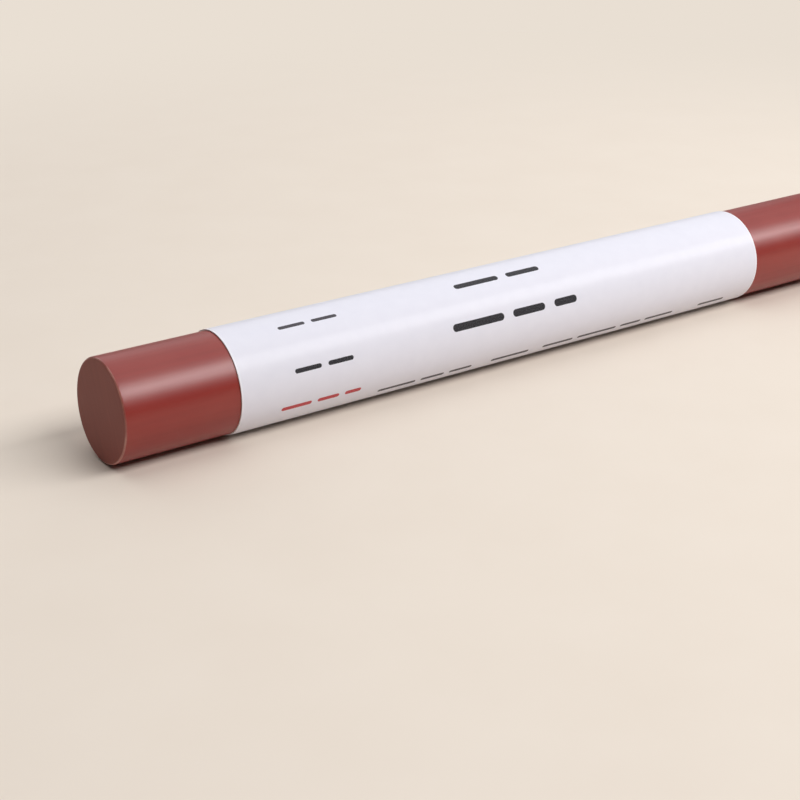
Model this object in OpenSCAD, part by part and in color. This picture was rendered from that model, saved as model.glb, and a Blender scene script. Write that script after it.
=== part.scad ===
// Furniture repair wax stick: a cast round stick of coloured wax with a printed self-adhesive label
// wrapped once round it. The stick lies along X with its near end at -X. The origin is at the middle
// of its length, on the surface that it lies on.

/* [Wax stick] */
// Diameter of the wax stick
wax_d = 12; // [8:0.5:20]
// Bare wax from the near end to the label
bare_near_l = 14.4; // [4:0.1:40]
// Bare wax from the label to the far end
bare_far_l = 20.6; // [4:0.1:40]
// Rounding of the edge at each end
edge_r = 0.25; // [0.1:0.05:1]

/* [Label] */
// Length of the label along the stick
label_l = 80; // [40:1:120]
// Width of the lap, where the label covers its own first edge
lap_w = 2.3; // [1:0.1:6]
// Angle of the label's outer edge, up from the back of the stick
seam_a = 40; // [10:1:60]
// Angle at which the label lifts off the wax to climb over its first edge
lift_a = 2; // [1:0.5:5]

/* [Label layers] */
// Thickness of the adhesive on the back of the paper
adhesive_t = 0.03; // [0.02:0.01:0.08]
// Thickness of the paper
paper_t = 0.1; // [0.06:0.01:0.2]
// Thickness of the clear film over the print
film_t = 0.03; // [0.02:0.01:0.08]

/* [Hidden] */
$fn = 128;

wax_r = wax_d / 2;
stick_l = bare_near_l + label_l + bare_far_l;
near_x = -stick_l / 2;

// Each layer starts where the one below it ends
paper_h = adhesive_t;
film_h = paper_h + paper_t;
label_t = film_h + film_t;
lap_r = wax_r + label_t;
axis_z = lap_r;

// The ramp is the flat strip of label from the wax up to the top of the first edge. It lies ramp_d
// from the axis, and its normal points ramp_a before the first edge.
ramp_d = wax_r * cos(lift_a);
ramp_a = acos(ramp_d / lap_r);
lap_a = lap_w / lap_r * 180 / PI;
first_edge_a = seam_a - lap_a;

// Half size of the wedges and half planes that cut the layers, past the outside of the lap
reach = 2 * (lap_r + label_t);
// Widest step between the corners of a wedge, which keeps its far side outside the lap
wedge_step_a = 60;

// Slice of the plane from angle a0 to angle a1 about the axis
module wedge(a0, a1) {
    steps = ceil((a1 - a0) / wedge_step_a);
    rim = [for (i = [0:steps]) a0 + (a1 - a0) * i / steps];
    polygon(concat([[0, 0]], [for (a = rim) reach * [cos(a), sin(a)]]));
}

// Section of the stick once the label has gone round it and climbed over its first edge at angle 0,
// measured h above the label's underside
module wound_outline(h) {
    circle(r = wax_r + h);
    intersection() {
        circle(r = lap_r + h);
        rotate(-ramp_a) translate([-reach, -reach]) square([reach + ramp_d + h, 2 * reach]);
        wedge(-ramp_a, lap_a + ramp_a);
    }
}

// Section of one layer of the label, t thick and h above the label's underside: its first turn on the
// wax, and its tail of ramp and lap, which share the stretch of ring that leads to the ramp
module layer_section(h, t) {
    difference() {
        circle(r = wax_r + h + t);
        circle(r = wax_r + h);
        wedge(-ramp_a, 0);
    }
    intersection() {
        difference() {
            wound_outline(h + t);
            wound_outline(h);
        }
        wedge(-2 * ramp_a, lap_a);
    }
}

module label_layer(h, t) {
    translate([near_x + bare_near_l, 0, axis_z])
        rotate([90, 0, 90])
            linear_extrude(height = label_l)
                rotate(first_edge_a)
                    layer_section(h, t);
}

module wax_profile() {
    square([wax_r - edge_r, stick_l]);
    translate([0, edge_r]) square([wax_r, stick_l - 2 * edge_r]);
    for (z = [edge_r, stick_l - edge_r]) translate([wax_r - edge_r, z]) circle(r = edge_r);
}

module wax_stick() {
    color("#9A463D")
        translate([near_x, 0, axis_z])
            rotate([0, 90, 0])
                rotate_extrude()
                    wax_profile();
}

module label_adhesive() {
    color("#E9E4D2") label_layer(0, adhesive_t);
}

module label_paper() {
    color("#F2F0F7") label_layer(paper_h, paper_t);
}

module label_film() {
    color("#FFFFFF", 0.25) label_layer(film_h, film_t);
}

wax_stick();
label_adhesive();
label_paper();
label_film();
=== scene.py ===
import math

import bmesh
import bpy
from mathutils import Matrix, Vector, noise


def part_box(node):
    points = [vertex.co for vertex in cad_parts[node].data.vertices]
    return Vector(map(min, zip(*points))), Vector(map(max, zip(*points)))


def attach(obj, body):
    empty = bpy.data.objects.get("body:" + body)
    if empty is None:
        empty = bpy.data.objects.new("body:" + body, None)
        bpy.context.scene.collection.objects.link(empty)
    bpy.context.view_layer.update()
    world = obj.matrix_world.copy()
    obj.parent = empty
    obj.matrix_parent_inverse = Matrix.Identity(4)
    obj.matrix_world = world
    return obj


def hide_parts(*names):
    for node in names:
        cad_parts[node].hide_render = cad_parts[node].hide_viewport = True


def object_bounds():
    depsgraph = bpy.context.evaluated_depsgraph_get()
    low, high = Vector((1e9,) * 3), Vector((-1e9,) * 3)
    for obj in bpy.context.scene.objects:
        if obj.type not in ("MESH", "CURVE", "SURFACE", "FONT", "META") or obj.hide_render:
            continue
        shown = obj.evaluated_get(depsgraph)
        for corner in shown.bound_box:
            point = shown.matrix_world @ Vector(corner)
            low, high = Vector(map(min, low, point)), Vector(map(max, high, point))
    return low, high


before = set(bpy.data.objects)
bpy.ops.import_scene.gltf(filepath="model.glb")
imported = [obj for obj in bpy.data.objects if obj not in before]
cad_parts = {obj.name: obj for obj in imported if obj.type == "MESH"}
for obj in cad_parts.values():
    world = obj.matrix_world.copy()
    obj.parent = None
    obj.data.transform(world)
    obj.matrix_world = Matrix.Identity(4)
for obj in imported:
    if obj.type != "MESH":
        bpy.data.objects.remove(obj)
cadLow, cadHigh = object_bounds()
scene = bpy.context.scene
mm = 0.001
axisHeight = (cadLow.z + cadHigh.z) / 2  # the stick's axis above the floor
# where the wax and the label start and end along the stick, in mm
waxNear, waxFar = [round(corner.x / mm, 3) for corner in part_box("wax_stick")]
labelNear, labelFar = [round(corner.x / mm, 3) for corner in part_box("label_paper")]
waxLength = waxFar - waxNear
labelLength = labelFar - labelNear
print("frame: nodes", sorted(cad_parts), "box in mm", [round(v / mm, 2) for v in (*cadLow, *cadHigh)])

# sockets of a Mix node, which has several of the same name
mixShare = 0
firstNumber, secondNumber = 2, 3
firstColour, secondColour, mixedColour = 6, 7, 2


# sRGB hex to linear
def hexColour(code):
    channels = [int(code[i:i + 2], 16) / 255 for i in (1, 3, 5)]
    return [c / 12.92 if c <= 0.04045 else ((c + 0.055) / 1.055) ** 2.4 for c in channels] + [1.0]


# adds a node, sets its options, and fills or links its inputs; a node given as an input is its first output
def addNode(tree, kind, inputs=None, **options):
    node = tree.nodes.new(kind)
    for option, value in options.items():
        setattr(node, option, value)
    for key, value in (inputs or {}).items():
        if isinstance(value, bpy.types.Node):
            value = value.outputs[0]
        if isinstance(value, bpy.types.NodeSocket):
            tree.links.new(value, node.inputs[key])
        else:
            node.inputs[key].default_value = value
    return node


def newMaterial(name):
    material = bpy.data.materials.new(name)
    material.use_nodes = True
    material.node_tree.nodes.clear()
    return material, material.node_tree


def newObject(name, data):
    thing = bpy.data.objects.new(name, data)
    scene.collection.objects.link(thing)
    return thing


# camera at the photo's viewing angle, for an 800 x 800 image
cameraView = {
    "lens": 71.6, "sensor": 36.0, "nearest": 10.0,  # mm
    "turn": 34.55, "tilt": 23.61,  # degrees
    "place": (-119.71, -148.02, 76.29),  # mm
}
turn, tilt = math.radians(cameraView["turn"]), math.radians(cameraView["tilt"])
camRight = Vector((math.cos(turn), -math.sin(turn), 0))
camBack = Vector((-math.sin(turn) * math.cos(tilt), -math.cos(turn) * math.cos(tilt), math.sin(tilt)))
camTurn = Matrix((camRight, camBack.cross(camRight), camBack)).transposed().to_4x4()
camera = newObject("camera", bpy.data.cameras.new("camera"))
camera.data.sensor_fit = "HORIZONTAL"
camera.data.sensor_width = cameraView["sensor"]
camera.data.lens = cameraView["lens"]
camera.data.clip_start = cameraView["nearest"] * mm
camera.matrix_world = Matrix.Translation(Vector(cameraView["place"]) * mm) @ camTurn
scene.camera = camera
print("camera: lens", cameraView["lens"], "mm")


# wax stick: a turned profile with softened ends, and the slight unevenness that casting leaves
waxStick = {
    "radius": 6.0, "edge": 0.25,  # mm
    "around": 168, "ringStep": 1.0, "edgeSteps": 8, "faceRings": 10,
    "wave": 0.012, "waveLength": 14.0,  # mm, always inwards
    "faceDip": 0.03,  # mm, how far the middle of an end sank as the wax cooled
    # the near end is cut a little out of square: mm that its top and its front are set back, and how far
    # along the stick the mesh takes this up
    "slantTop": 0.29, "slantFront": 0.13, "slantReach": 10.0,
}


# x, radius, share of rim and share of end face for each ring, in mm
def waxProfile(stick):
    half, radius, edge = waxLength / 2, stick["radius"], stick["edge"]
    near = []
    for i in range(1, stick["faceRings"] + 1):
        out = i / stick["faceRings"]
        near.append((-half + stick["faceDip"] * (1 - out * out), (radius - edge) * out, 0.0, 1.0))
    for i in range(1, stick["edgeSteps"] + 1):
        bend = math.pi / 2 * i / stick["edgeSteps"]
        x = -half + edge - edge * math.cos(bend)
        reach = radius - edge + edge * math.sin(bend)
        near.append((x, reach, math.sin(2 * bend) ** 2, math.cos(bend) ** 2))
    count = round((waxLength - 2 * edge) / stick["ringStep"])
    step = (waxLength - 2 * edge) / count
    side = [(-half + edge + step * i, radius, 0.0, 0.0) for i in range(1, count)]
    far = [(-x, reach, rim, face) for x, reach, rim, face in reversed(near)]
    return near + side + far


# mm that the slanted cut sets a place back, which is nothing at the place furthest out
def slantAt(stick, x, across, up):
    lean = stick["slantTop"] * up / stick["radius"] - stick["slantFront"] * across / stick["radius"]
    fade = max(0.0, 1 - (x + waxLength / 2) / stick["slantReach"])
    return fade * (math.hypot(stick["slantTop"], stick["slantFront"]) + lean)


def buildWax(stick):
    bm = bmesh.new()
    rimLayer = bm.verts.layers.float.new("rim")
    faceLayer = bm.verts.layers.float.new("endFace")
    around, radius = stick["around"], stick["radius"]
    rings = []
    for x, reach, rim, face in waxProfile(stick):
        ring = []
        for i in range(around):
            angle = 2 * math.pi * i / around
            spot = Vector((x, radius * math.cos(angle), radius * math.sin(angle))) / stick["waveLength"]
            swell = max(-1.0, min(1.0, noise.noise(spot)))
            sunk = reach - stick["wave"] * (0.5 + 0.5 * swell) * (1 - face)
            across, up = sunk * math.cos(angle), sunk * math.sin(angle)
            along = x + slantAt(stick, x, across, up)
            vert = bm.verts.new((along * mm, across * mm, axisHeight + up * mm))
            vert[rimLayer], vert[faceLayer] = rim, face
            ring.append(vert)
        rings.append(ring)
    for ring, nextRing in zip(rings, rings[1:]):
        for i in range(around):
            j = (i + 1) % around
            bm.faces.new((ring[i], ring[j], nextRing[j], nextRing[i]))
    sunkEnd = waxLength / 2 - stick["faceDip"]
    for ring, x in ((rings[0], -sunkEnd), (rings[-1], sunkEnd)):
        middle = bm.verts.new(((x + slantAt(stick, x, 0, 0)) * mm, 0, axisHeight))
        middle[faceLayer] = 1.0
        for i in range(around):
            bm.faces.new((middle, ring[i], ring[(i + 1) % around]))
    bmesh.ops.recalc_face_normals(bm, faces=bm.faces)
    for face in bm.faces:
        face.smooth = True
    mesh = bpy.data.meshes.new("waxStick")
    bm.to_mesh(mesh)
    bm.free()
    return newObject("waxStick", mesh)


# cast filler wax: hard pigmented wax, satin from the mould, so a broad soft streak of light over a deep brick
# red, faint lines along its length, a thin bloom in patches, and a painted highlight, a paler colour in
# patches, on the rounded edge round each end
waxLook = {
    "colour": "#8C2118", "roughness": 0.35, "ior": 1.5, "shine": 0.76,
    # light that spreads under the skin: its share, its reach in mm, and what part of that each colour goes
    "underLight": 0.1, "underReach": 0.6, "underSpread": (1.0, 0.35, 0.25),
    # patterns: sizes and heights in mm, and the levels of their noise where they start and are full; the
    # grain is drawn coarser than the real one, so that it shows
    "streak": {
        "width": 0.5, "length": 30.0, "detail": 3.0, "start": 0.4, "full": 0.75, "share": 0.6,
        "colour": "#811C14", "dullStart": 0.3, "dullFull": 0.7, "roughness": 0.4,
    },
    "bloom": {"size": 5.0, "detail": 4.0, "start": 0.45, "full": 0.8, "share": 0.35, "colour": "#953528"},
    "grain": {"size": 0.18, "detail": 2.0, "height": 0.003},
    "endFace": {"colour": "#8A3626", "roughness": 0.6},
    "cut": {
        "width": 0.3, "length": 6.0, "lean": 25.0,  # lean in degrees
        "detail": 3.0, "start": 0.35, "full": 0.65, "height": 0.006, "colour": "#833222",
    },
    # painted highlight on the rounded edge of each end: a paler colour in noise patches; its lower roughness
    # is real gloss
    "rimHighlight": {
        "size": 2.5, "seed": 3.0, "detail": 2.0, "start": 0.4, "full": 0.6, "least": 0.25, "most": 0.8,
        "colour": "#C48C80", "roughness": 0.25,
    },
}


def waxMaterial(look):
    streak, bloom, grain, cut, rimHighlight = [look[key] for key in ("streak", "bloom", "grain", "cut", "rimHighlight")]
    material, tree = newMaterial("castFillerWax")
    place = addNode(tree, "ShaderNodeTexCoord").outputs["Object"]
    rim = addNode(tree, "ShaderNodeAttribute", attribute_name="rim").outputs["Fac"]
    endFace = addNode(tree, "ShaderNodeAttribute", attribute_name="endFace").outputs["Fac"]
    # streaks are noise drawn out along the stick
    drawn = addNode(tree, "ShaderNodeMapping", {
        "Vector": place, "Scale": [1 / (streak[key] * mm) for key in ("length", "width", "width")]})
    streakNoise = addNode(tree, "ShaderNodeTexNoise", {
        "Vector": drawn, "Scale": 1.0, "Detail": streak["detail"]})
    streakShare = addNode(tree, "ShaderNodeMapRange", {
        "Value": streakNoise, "From Min": streak["start"], "From Max": streak["full"],
        "To Max": streak["share"]})
    bloomNoise = addNode(tree, "ShaderNodeTexNoise", {
        "Vector": place, "Scale": 1 / (bloom["size"] * mm), "Detail": bloom["detail"]})
    bloomShare = addNode(tree, "ShaderNodeMapRange", {
        "Value": bloomNoise, "From Min": bloom["start"], "From Max": bloom["full"],
        "To Max": bloom["share"]})
    grainNoise = addNode(tree, "ShaderNodeTexNoise", {
        "Vector": place, "Scale": 1 / (grain["size"] * mm), "Detail": grain["detail"]})
    # faint drag lines across the end faces, where the stick was cut from the cast length
    leaned = addNode(tree, "ShaderNodeMapping", {
        "Vector": place, "Rotation": (math.radians(cut["lean"]), 0, 0)})
    dragged = addNode(tree, "ShaderNodeMapping", {
        "Vector": leaned, "Scale": [1 / (cut[key] * mm) for key in ("length", "width", "length")]})
    cutNoise = addNode(tree, "ShaderNodeTexNoise", {"Vector": dragged, "Scale": 1.0, "Detail": cut["detail"]})
    cutShare = addNode(tree, "ShaderNodeMapRange", {
        "Value": cutNoise, "From Min": cut["start"], "From Max": cut["full"]})
    # the rounded edge of each end gets a painted highlight: a paler colour, laid in patches
    rimHighlightNoise = addNode(tree, "ShaderNodeTexNoise", {
        "Vector": place, "W": rimHighlight["seed"], "Scale": 1 / (rimHighlight["size"] * mm), "Detail": rimHighlight["detail"],
    }, noise_dimensions="4D")
    rimHighlightShare = addNode(tree, "ShaderNodeMapRange", {
        "Value": rimHighlightNoise, "From Min": rimHighlight["start"], "From Max": rimHighlight["full"],
        "To Min": rimHighlight["least"], "To Max": rimHighlight["most"]})
    paintedRimHighlight = addNode(tree, "ShaderNodeMath", {0: rim, 1: rimHighlightShare}, operation="MULTIPLY")
    # colours laid over each other, the side's first, then the end faces and the painted highlight on the
    # rounded edges
    streaked = addNode(tree, "ShaderNodeMix", {
        mixShare: streakShare, firstColour: hexColour(look["colour"]),
        secondColour: hexColour(streak["colour"]),
    }, data_type="RGBA").outputs[mixedColour]
    bloomed = addNode(tree, "ShaderNodeMix", {
        mixShare: bloomShare, firstColour: streaked, secondColour: hexColour(bloom["colour"]),
    }, data_type="RGBA").outputs[mixedColour]
    cutFace = addNode(tree, "ShaderNodeMix", {
        mixShare: cutShare, firstColour: hexColour(look["endFace"]["colour"]),
        secondColour: hexColour(cut["colour"]),
    }, data_type="RGBA").outputs[mixedColour]
    body = addNode(tree, "ShaderNodeMix", {
        mixShare: endFace, firstColour: bloomed, secondColour: cutFace,
    }, data_type="RGBA").outputs[mixedColour]
    colour = addNode(tree, "ShaderNodeMix", {
        mixShare: paintedRimHighlight, firstColour: body, secondColour: hexColour(rimHighlight["colour"]),
    }, data_type="RGBA").outputs[mixedColour]
    # gloss in the same order
    sideRough = addNode(tree, "ShaderNodeMapRange", {
        "Value": streakNoise, "From Min": streak["dullStart"], "From Max": streak["dullFull"],
        "To Min": look["roughness"], "To Max": streak["roughness"]})
    bodyRough = addNode(tree, "ShaderNodeMix", {
        mixShare: endFace, firstNumber: sideRough, secondNumber: look["endFace"]["roughness"]})
    rough = addNode(tree, "ShaderNodeMix", {
        mixShare: rim, firstNumber: bodyRough, secondNumber: rimHighlight["roughness"]})
    grainBump = addNode(tree, "ShaderNodeBump", {
        "Strength": 1.0, "Distance": grain["height"] * mm, "Height": grainNoise})
    cutLines = addNode(tree, "ShaderNodeMath", {0: cutNoise, 1: endFace}, operation="MULTIPLY")
    bump = addNode(tree, "ShaderNodeBump", {
        "Strength": 1.0, "Distance": cut["height"] * mm, "Height": cutLines, "Normal": grainBump})
    surface = addNode(tree, "ShaderNodeBsdfPrincipled", {
        "Base Color": colour, "Roughness": rough, "Normal": bump,
        "IOR": look["ior"], "Specular IOR Level": look["shine"],
        "Subsurface Weight": look["underLight"], "Subsurface Radius": look["underSpread"],
        "Subsurface Scale": look["underReach"] * mm,
    })
    addNode(tree, "ShaderNodeOutputMaterial", {"Surface": surface})
    return material


wax = buildWax(waxStick)
wax.data.materials.append(waxMaterial(waxLook))
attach(wax, "root")
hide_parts("wax_stick")
print("wax stick:", len(wax.data.polygons), "faces")


# label: one flat slip of film-covered paper, wound round the stick until it climbs over its own first edge
labelSlip = {
    "adhesive": 0.03, "paper": 0.1, "film": 0.03, "lap": 2.3, "width": 40.0,  # mm
    "outerEdge": 40.0, "lift": 2.0,  # degrees, as in the part
    "cutBend": 40.0,  # degrees, past which an edge of the slip stays sharp
    "columns": 81, "rows": 321,
    "wave": 0.02, "waveLength": 9.0,  # mm, always inwards
    "waveDetail": 2.0, "seed": 4.0,
}
stickRadius = waxStick["radius"]
labelThick = labelSlip["adhesive"] + labelSlip["paper"] + labelSlip["film"]
lapRadius = stickRadius + labelThick
rampReach = stickRadius * math.cos(math.radians(labelSlip["lift"]))
rampAngle = math.acos(rampReach / lapRadius)
lapAngle = labelSlip["lap"] / lapRadius
firstEdge = math.radians(labelSlip["outerEdge"]) - lapAngle
woundAngle = 2 * math.pi + lapAngle


def windingTree(material):
    tree = bpy.data.node_groups.new("labelWinding", "GeometryNodeTree")
    numbers = ("Length", "Width", "Slip thickness", "Seat height", "Stick radius", "Label thickness",
               "Ramp reach", "Ramp angle", "Wound angle", "First edge", "Middle", "Axis height", "Cut bend",
               "Wave", "Wave length", "Wave detail", "Seed")
    for name in numbers:
        tree.interface.new_socket(name=name, in_out="INPUT", socket_type="NodeSocketFloat")
    for name in ("Columns", "Rows"):
        tree.interface.new_socket(name=name, in_out="INPUT", socket_type="NodeSocketInt")
    tree.interface.new_socket(name="Geometry", in_out="OUTPUT", socket_type="NodeSocketGeometry")
    given = addNode(tree, "NodeGroupInput").outputs
    size = addNode(tree, "ShaderNodeCombineXYZ", {
        "X": given["Length"], "Y": given["Width"], "Z": given["Slip thickness"]})
    slip = addNode(tree, "GeometryNodeMeshCube", {
        "Size": size, "Vertices X": given["Columns"], "Vertices Y": given["Rows"], "Vertices Z": 2})
    spot = addNode(tree, "GeometryNodeInputPosition")
    flat = addNode(tree, "ShaderNodeSeparateXYZ", {"Vector": spot}).outputs
    ripple = addNode(tree, "ShaderNodeTexNoise", {
        "Vector": spot, "W": given["Seed"], "Detail": given["Wave detail"]}, noise_dimensions="4D")
    bend = addNode(tree, "GeometryNodeInputMeshEdgeAngle").outputs["Unsigned Angle"]
    made = {socket.name: socket for socket in given}
    made.update({"along": flat["X"], "across": flat["Y"], "up": flat["Z"]})
    made.update({"ripple": ripple.outputs[0], "bend": bend})
    # the winding rule, one sum to a line: the first turn lies on the wax, the ramp is flat, the lap lies on
    # the first turn, and the outside sinks a little in places, because the paper isn't laid quite evenly
    rule = [
        ("fromNear", "MULTIPLY_ADD", "Length", 0.5, "along"),
        ("fromFirst", "MULTIPLY_ADD", "Width", 0.5, "across"),
        ("printAlong", "DIVIDE", "fromNear", mm),
        ("printAround", "DIVIDE", "fromFirst", mm),
        ("offUnderside", "MULTIPLY_ADD", "Slip thickness", 0.5, "up"),
        ("offWax", "ADD", "offUnderside", "Seat height"),
        ("share", "DIVIDE", "fromFirst", "Width"),
        ("wound", "MULTIPLY", "share", "Wound angle"),
        ("pastTurn", "SUBTRACT", "wound", 2 * math.pi),
        ("pastRamp", "ADD", "pastTurn", "Ramp angle"),
        ("firstTurn", "ADD", "Stick radius", "offWax"),
        ("onLap", "ADD", "firstTurn", "Label thickness"),
        ("rampNear", "ADD", "Ramp reach", "offWax"),
        ("rampLean", "COSINE", "pastRamp"),
        ("onRamp", "DIVIDE", "rampNear", "rampLean"),
        ("lower", "MINIMUM", "onRamp", "onLap"),
        ("lift", "SUBTRACT", "lower", "firstTurn"),
        ("climb", "MAXIMUM", "lift", 0.0),
        ("onTail", "GREATER_THAN", "pastRamp", 0.0),
        ("raised", "MULTIPLY_ADD", "climb", "onTail", "firstTurn"),
        ("onOutside", "GREATER_THAN", "up", 0.0),
        ("deepest", "MULTIPLY", "Wave", "onOutside"),
        ("sink", "MULTIPLY", "ripple", "deepest"),
        ("radius", "SUBTRACT", "raised", "sink"),
        ("angle", "ADD", "First edge", "wound"),
        ("cosine", "COSINE", "angle"),
        ("sine", "SINE", "angle"),
        ("x", "ADD", "along", "Middle"),
        ("y", "MULTIPLY", "radius", "cosine"),
        ("z", "MULTIPLY_ADD", "radius", "sine", "Axis height"),
        ("rippleScale", "DIVIDE", 1.0, "Wave length"),
        ("isCut", "GREATER_THAN", "bend", "Cut bend"),
    ]
    for name, operation, *terms in rule:
        inputs = {i: made[term] if isinstance(term, str) else term for i, term in enumerate(terms)}
        made[name] = addNode(tree, "ShaderNodeMath", inputs, operation=operation).outputs[0]
    tree.links.new(made["rippleScale"], ripple.inputs["Scale"])
    printPlace = addNode(tree, "ShaderNodeCombineXYZ", {"X": made["printAlong"], "Y": made["printAround"]})
    # flat places on the slip, in mm, for the print
    mapped = addNode(tree, "GeometryNodeStoreNamedAttribute", {
        "Geometry": slip, "Name": "labelPlace", "Value": printPlace}, data_type="FLOAT2", domain="CORNER")
    around = addNode(tree, "ShaderNodeCombineXYZ", {"X": made["x"], "Y": made["y"], "Z": made["z"]})
    rolled = addNode(tree, "GeometryNodeSetPosition", {"Geometry": mapped, "Position": around})
    outward = addNode(tree, "GeometryNodeFlipFaces", {"Mesh": rolled})
    cutEdges = addNode(tree, "GeometryNodeStoreNamedAttribute", {
        "Geometry": outward, "Name": "sharp_edge", "Value": made["isCut"],
    }, data_type="BOOLEAN", domain="EDGE")
    smooth = addNode(tree, "GeometryNodeSetShadeSmooth", {"Geometry": cutEdges})
    real = addNode(tree, "GeometryNodeRealizeInstances", {"Geometry": smooth})
    painted = addNode(tree, "GeometryNodeSetMaterial", {"Geometry": real, "Material": material})
    addNode(tree, "NodeGroupOutput", {"Geometry": painted})
    return tree


def buildLabel(slip, material):
    tree = windingTree(material)
    carrier = newObject("labelCarrier", bpy.data.meshes.new("labelCarrier"))
    modifier = carrier.modifiers.new("winding", "NODES")
    modifier.node_group = tree
    values = {
        "Length": labelLength * mm, "Width": slip["width"] * mm,
        "Slip thickness": (slip["paper"] + slip["film"]) * mm, "Seat height": slip["adhesive"] * mm,
        "Stick radius": stickRadius * mm, "Label thickness": labelThick * mm,
        "Ramp reach": rampReach * mm, "Ramp angle": rampAngle,
        "Wound angle": woundAngle, "First edge": firstEdge,
        "Middle": (labelNear + labelLength / 2) * mm, "Axis height": axisHeight,
        "Cut bend": math.radians(slip["cutBend"]),
        "Wave": slip["wave"] * mm, "Wave length": slip["waveLength"] * mm,
        "Wave detail": slip["waveDetail"], "Seed": slip["seed"],
        "Columns": slip["columns"], "Rows": slip["rows"],
    }
    for socket in tree.interface.items_tree:
        if socket.in_out == "INPUT":
            modifier[socket.identifier] = values[socket.name]
    bpy.context.view_layer.update()
    evaluated = carrier.evaluated_get(bpy.context.evaluated_depsgraph_get())
    mesh = bpy.data.meshes.new_from_object(evaluated)
    mesh.materials.pop(index=0)  # the empty slot that the flat slip starts with
    carrier.modifiers.remove(modifier)
    bpy.data.objects.remove(carrier)
    mesh.name = "label"
    return newObject("label", mesh)


# film-covered label paper: coated white paper, printed and laminated, so a cool white with faint cloudiness,
# ink that is a little uneven, a clear gloss over all of it, and a painted highlight: a brighter line along
# each cut end
labelLook = {
    "colour": "#E7E6F0", "ior": 1.5, "shine": 0.1,  # under the film the paper has almost no shine of its own
    "roughness": (0.45, 0.55),  # least and most
    "film": {"weight": 0.24, "roughness": 0.2, "ior": 1.49},
    "cloud": {"size": 1.6, "detail": 4.0, "colour": "#E1E0EB"},  # mm
    "peel": {"size": 2.2, "detail": 2.0, "height": 0.002},  # mm
    # painted highlight along the cut ends: a brighter paper colour in a thin band
    "cutEdgeHighlight": {"width": 0.18, "colour": "#EFEEF5"},  # mm
    # grain, drawn coarser than real ink's so that it shows, and wobble in mm, and how much of the paper the
    # ink covers where its grain is low and high
    "ink": {
        "grain": 0.12, "detail": 2.0, "wobble": 0.05, "start": 0.3, "full": 0.6, "least": 0.92, "most": 0.99,
        "black": "#1F1D21", "grey": "#3F3B41", "red": "#BC3A3D",
    },
    # rows of plain dashes: angle of the row up from the back in degrees, thickness in mm, ink, and where each
    # dash starts and ends along the label in mm
    "rows": [
        (112.0, 0.48, "grey", [(7.0, 10.5), (11.4, 14.8)]),
        (164.0, 0.52, "black", [(7.0, 10.5), (11.4, 14.8)]),
        (112.5, 0.75, "black", [(31.6, 38.2), (39.5, 44.6)]),
        (161.0, 0.92, "black", [(29.0, 36.7), (38.1, 43.1), (44.6, 48.2)]),
        (206.0, 0.55, "red", [(5.3, 9.3), (10.1, 13.0), (13.8, 16.0)]),
        (220.5, 0.52, "grey", [
            (18.9, 24.3), (25.1, 28.5), (29.3, 32.7), (35.7, 41.6), (43.9, 48.8), (49.6, 56.1), (56.9, 60.4),
            (61.2, 66.1), (70.8, 75.5)]),
    ],
}


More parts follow.
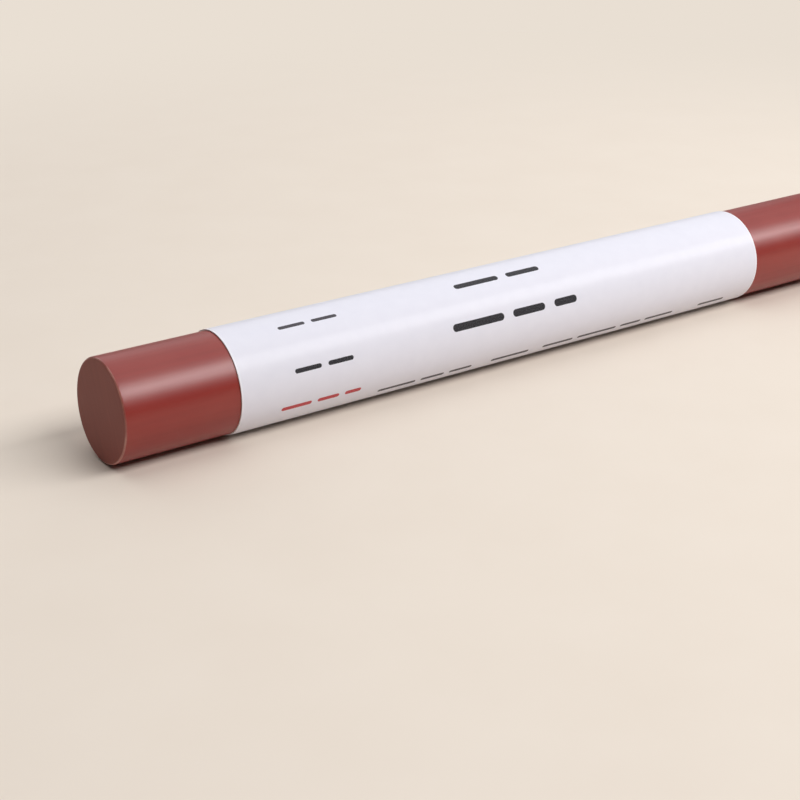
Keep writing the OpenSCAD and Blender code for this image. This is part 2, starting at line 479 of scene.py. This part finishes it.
def labelMaterial(look):
    film, cloud, peel, cutEdgeHighlight, ink = [look[key] for key in ("film", "cloud", "peel", "cutEdgeHighlight", "ink")]
    material, tree = newMaterial("filmCoveredLabelPaper")
    place = addNode(tree, "ShaderNodeTexCoord").outputs["Object"]
    flat = addNode(tree, "ShaderNodeUVMap", uv_map="labelPlace")
    cloudNoise = addNode(tree, "ShaderNodeTexNoise", {
        "Vector": place, "Scale": 1 / (cloud["size"] * mm), "Detail": cloud["detail"]})
    colour = addNode(tree, "ShaderNodeMix", {
        mixShare: cloudNoise, firstColour: hexColour(look["colour"]),
        secondColour: hexColour(cloud["colour"]),
    }, data_type="RGBA").outputs[mixedColour]
    # the ink's outline wobbles and its cover varies with its grain
    grain = addNode(tree, "ShaderNodeTexNoise", {
        "Vector": flat, "Scale": 1 / ink["grain"], "Detail": ink["detail"]})
    wobble = addNode(tree, "ShaderNodeVectorMath", {
        0: grain.outputs["Color"], 1: (0.5, 0.5, 0.5)}, operation="SUBTRACT")
    inked = addNode(tree, "ShaderNodeVectorMath", {
        0: wobble, 1: (ink["wobble"],) * 3, 2: flat}, operation="MULTIPLY_ADD")
    inkPlace = addNode(tree, "ShaderNodeSeparateXYZ", {"Vector": inked}).outputs
    cover = addNode(tree, "ShaderNodeMapRange", {
        "Value": grain, "From Min": ink["start"], "From Max": ink["full"],
        "To Min": ink["least"], "To Max": ink["most"]})
    for angle, thick, shade, dashes in look["rows"]:
        dashRadius = thick / 2
        rowPlace = (math.radians(angle) - firstEdge) / woundAngle * labelSlip["width"]
        # how far a place lies past the straight part of the nearest dash, whose ends are round
        nearest = None
        for start, end in dashes:
            fromMiddle = addNode(tree, "ShaderNodeMath", {
                0: inkPlace["X"], 1: (start + end) / 2}, operation="SUBTRACT")
            away = addNode(tree, "ShaderNodeMath", {0: fromMiddle}, operation="ABSOLUTE")
            past = addNode(tree, "ShaderNodeMath", {
                0: away, 1: (end - start) / 2 - dashRadius}, operation="SUBTRACT")
            if nearest is not None:
                past = addNode(tree, "ShaderNodeMath", {0: nearest, 1: past}, operation="MINIMUM")
            nearest = past
        along = addNode(tree, "ShaderNodeMath", {0: nearest, 1: 0.0}, operation="MAXIMUM")
        across = addNode(tree, "ShaderNodeMath", {0: inkPlace["Y"], 1: rowPlace}, operation="SUBTRACT")
        toDash = addNode(tree, "ShaderNodeCombineXYZ", {"X": along, "Y": across})
        distance = addNode(tree, "ShaderNodeVectorMath", {0: toDash}, operation="LENGTH").outputs["Value"]
        inDash = addNode(tree, "ShaderNodeMath", {0: distance, 1: dashRadius}, operation="LESS_THAN")
        inkShare = addNode(tree, "ShaderNodeMath", {0: inDash, 1: cover}, operation="MULTIPLY")
        colour = addNode(tree, "ShaderNodeMix", {
            mixShare: inkShare, firstColour: colour, secondColour: hexColour(ink[shade]),
        }, data_type="RGBA").outputs[mixedColour]
    # painted highlight: a brighter paper colour in a thin band along the two cut ends
    plainPlace = addNode(tree, "ShaderNodeSeparateXYZ", {"Vector": flat}).outputs
    inner = addNode(tree, "ShaderNodeMath", {
        0: plainPlace["X"], 1: labelLength / 2, 2: labelLength / 2 - cutEdgeHighlight["width"]}, operation="COMPARE")
    colour = addNode(tree, "ShaderNodeMix", {
        mixShare: inner, firstColour: hexColour(cutEdgeHighlight["colour"]), secondColour: colour,
    }, data_type="RGBA").outputs[mixedColour]
    peelNoise = addNode(tree, "ShaderNodeTexNoise", {
        "Vector": place, "Scale": 1 / (peel["size"] * mm), "Detail": peel["detail"]})
    bump = addNode(tree, "ShaderNodeBump", {
        "Strength": 1.0, "Distance": peel["height"] * mm, "Height": peelNoise})
    smoothest, roughest = look["roughness"]
    rough = addNode(tree, "ShaderNodeMapRange", {
        "Value": cloudNoise, "To Min": smoothest, "To Max": roughest})
    surface = addNode(tree, "ShaderNodeBsdfPrincipled", {
        "Base Color": colour, "Roughness": rough, "Normal": bump,
        "IOR": look["ior"], "Specular IOR Level": look["shine"],
        "Coat Weight": film["weight"], "Coat Roughness": film["roughness"], "Coat IOR": film["ior"],
        "Coat Normal": bump,
    })
    addNode(tree, "ShaderNodeOutputMaterial", {"Surface": surface})
    return material


label = buildLabel(labelSlip, labelMaterial(labelLook))
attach(label, "root")
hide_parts("label_paper", "label_film")
print("label:", len(label.data.polygons), "faces")


# acrylic adhesive: a clear, slightly milky coat, seen only as a thin line at the label's ends
adhesiveLook = {
    "colour": "#E9E4D2", "roughness": 0.3, "ior": 1.47,
    "dust": {"size": 0.6, "detail": 3.0, "colour": "#CFC6B2", "roughness": 0.6},  # mm
}


def adhesiveMaterial(look):
    dust = look["dust"]
    material, tree = newMaterial("acrylicLabelAdhesive")
    place = addNode(tree, "ShaderNodeTexCoord").outputs["Object"]
    dustNoise = addNode(tree, "ShaderNodeTexNoise", {
        "Vector": place, "Scale": 1 / (dust["size"] * mm), "Detail": dust["detail"]})
    colour = addNode(tree, "ShaderNodeMix", {
        mixShare: dustNoise, firstColour: hexColour(look["colour"]), secondColour: hexColour(dust["colour"]),
    }, data_type="RGBA").outputs[mixedColour]
    rough = addNode(tree, "ShaderNodeMapRange", {
        "Value": dustNoise, "To Min": look["roughness"], "To Max": dust["roughness"]})
    surface = addNode(tree, "ShaderNodeBsdfPrincipled", {
        "Base Color": colour, "Roughness": rough, "IOR": look["ior"]})
    addNode(tree, "ShaderNodeOutputMaterial", {"Surface": surface})
    return material


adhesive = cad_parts["label_adhesive"]
adhesive.data.materials.clear()
adhesive.data.materials.append(adhesiveMaterial(adhesiveLook))
print("adhesive: node material set")


# pale board for the floor: painted matt, so an even tone with a faint mottle; away from the stick it fades
# into the room's pale tone, for the camera only
floorLook = {
    "size": 6.0, "fadeStart": 0.08, "fadeEnd": 0.22,  # metres
    "colour": "#E8DDD1", "farColour": "#E9DFD3", "roughness": 0.8, "shine": 0.1,
    "mottle": {"size": 12.0, "detail": 3.0, "colour": "#E4D8CB"},  # mm
}


def floorMaterial(look):
    mottle = look["mottle"]
    material, tree = newMaterial("paleBoard")
    place = addNode(tree, "ShaderNodeTexCoord").outputs["Object"]
    mottleNoise = addNode(tree, "ShaderNodeTexNoise", {
        "Vector": place, "Scale": 1 / (mottle["size"] * mm), "Detail": mottle["detail"]})
    colour = addNode(tree, "ShaderNodeMix", {
        mixShare: mottleNoise, firstColour: hexColour(look["colour"]),
        secondColour: hexColour(mottle["colour"]),
    }, data_type="RGBA").outputs[mixedColour]
    surface = addNode(tree, "ShaderNodeBsdfPrincipled", {
        "Base Color": colour, "Roughness": look["roughness"], "Specular IOR Level": look["shine"]})
    away = addNode(tree, "ShaderNodeVectorMath", {0: place}, operation="LENGTH").outputs["Value"]
    fade = addNode(tree, "ShaderNodeMapRange", {
        "Value": away, "From Min": look["fadeStart"], "From Max": look["fadeEnd"],
    }, interpolation_type="SMOOTHSTEP")
    seen = addNode(tree, "ShaderNodeLightPath").outputs["Is Camera Ray"]
    farShare = addNode(tree, "ShaderNodeMath", {0: fade, 1: seen}, operation="MULTIPLY")
    far = addNode(tree, "ShaderNodeEmission", {"Color": hexColour(look["farColour"]), "Strength": 1.0})
    mixed = addNode(tree, "ShaderNodeMixShader", {0: farShare, 1: surface, 2: far})
    addNode(tree, "ShaderNodeOutputMaterial", {"Surface": mixed})
    return material


floorHalf = floorLook["size"] / 2
floorCorners = [(x * floorHalf, y * floorHalf, 0) for x, y in ((-1, -1), (1, -1), (1, 1), (-1, 1))]
floorMesh = bpy.data.meshes.new("floor")
floorMesh.from_pydata(floorCorners, [], [(0, 1, 2, 3)])
floorMesh.materials.append(floorMaterial(floorLook))
floor = newObject("floor", floorMesh)

# soft studio light: a wide box overhead, one behind, a long strip box at the right front, and a dim room
lamps = {  # metres
    "overheadBox": {"place": (0.3, 0.2, 0.75), "aim": (0.3, 0.2, 0.0), "size": (1.6, 0.8), "watts": 4.0},
    "backBox": {"place": (0.3, 0.8, 0.5), "aim": (0.3, 0.0, 0.0), "size": (1.4, 0.6), "watts": 2.7},
    "stripBox": {
        "place": (0.44, -0.378, 0.472), "aim": (0.44, 0.0, 0.006), "size": (0.9, 0.28), "watts": 5.5},
}
for name, lamp in lamps.items():
    data = bpy.data.lights.new(name, "AREA")
    data.shape = "RECTANGLE"
    data.size, data.size_y = lamp["size"]
    data.energy = lamp["watts"]
    light = newObject(name, data)
    light.location = lamp["place"]
    light.rotation_mode = "QUATERNION"
    light.rotation_quaternion = (Vector(lamp["aim"]) - Vector(lamp["place"])).to_track_quat("-Z", "Y")
    light.visible_camera = False

# the room lights the stick dimly, and the camera sees it in the floor's far tone
room = {"light": "#FFFFFF", "strength": 0.06, "seen": floorLook["farColour"]}
world = bpy.data.worlds.new("room")
world.use_nodes = True
roomTree = world.node_tree
roomTree.nodes.clear()
dim = addNode(roomTree, "ShaderNodeBackground", {
    "Color": hexColour(room["light"]), "Strength": room["strength"]})
pale = addNode(roomTree, "ShaderNodeBackground", {"Color": hexColour(room["seen"]), "Strength": 1.0})
toCamera = addNode(roomTree, "ShaderNodeLightPath").outputs["Is Camera Ray"]
both = addNode(roomTree, "ShaderNodeMixShader", {0: toCamera, 1: dim, 2: pale})
addNode(roomTree, "ShaderNodeOutputWorld", {"Surface": both})
scene.world = world
scene.view_settings.view_transform = "Standard"
print("stage: floor,", len(lamps), "lamps and room light")
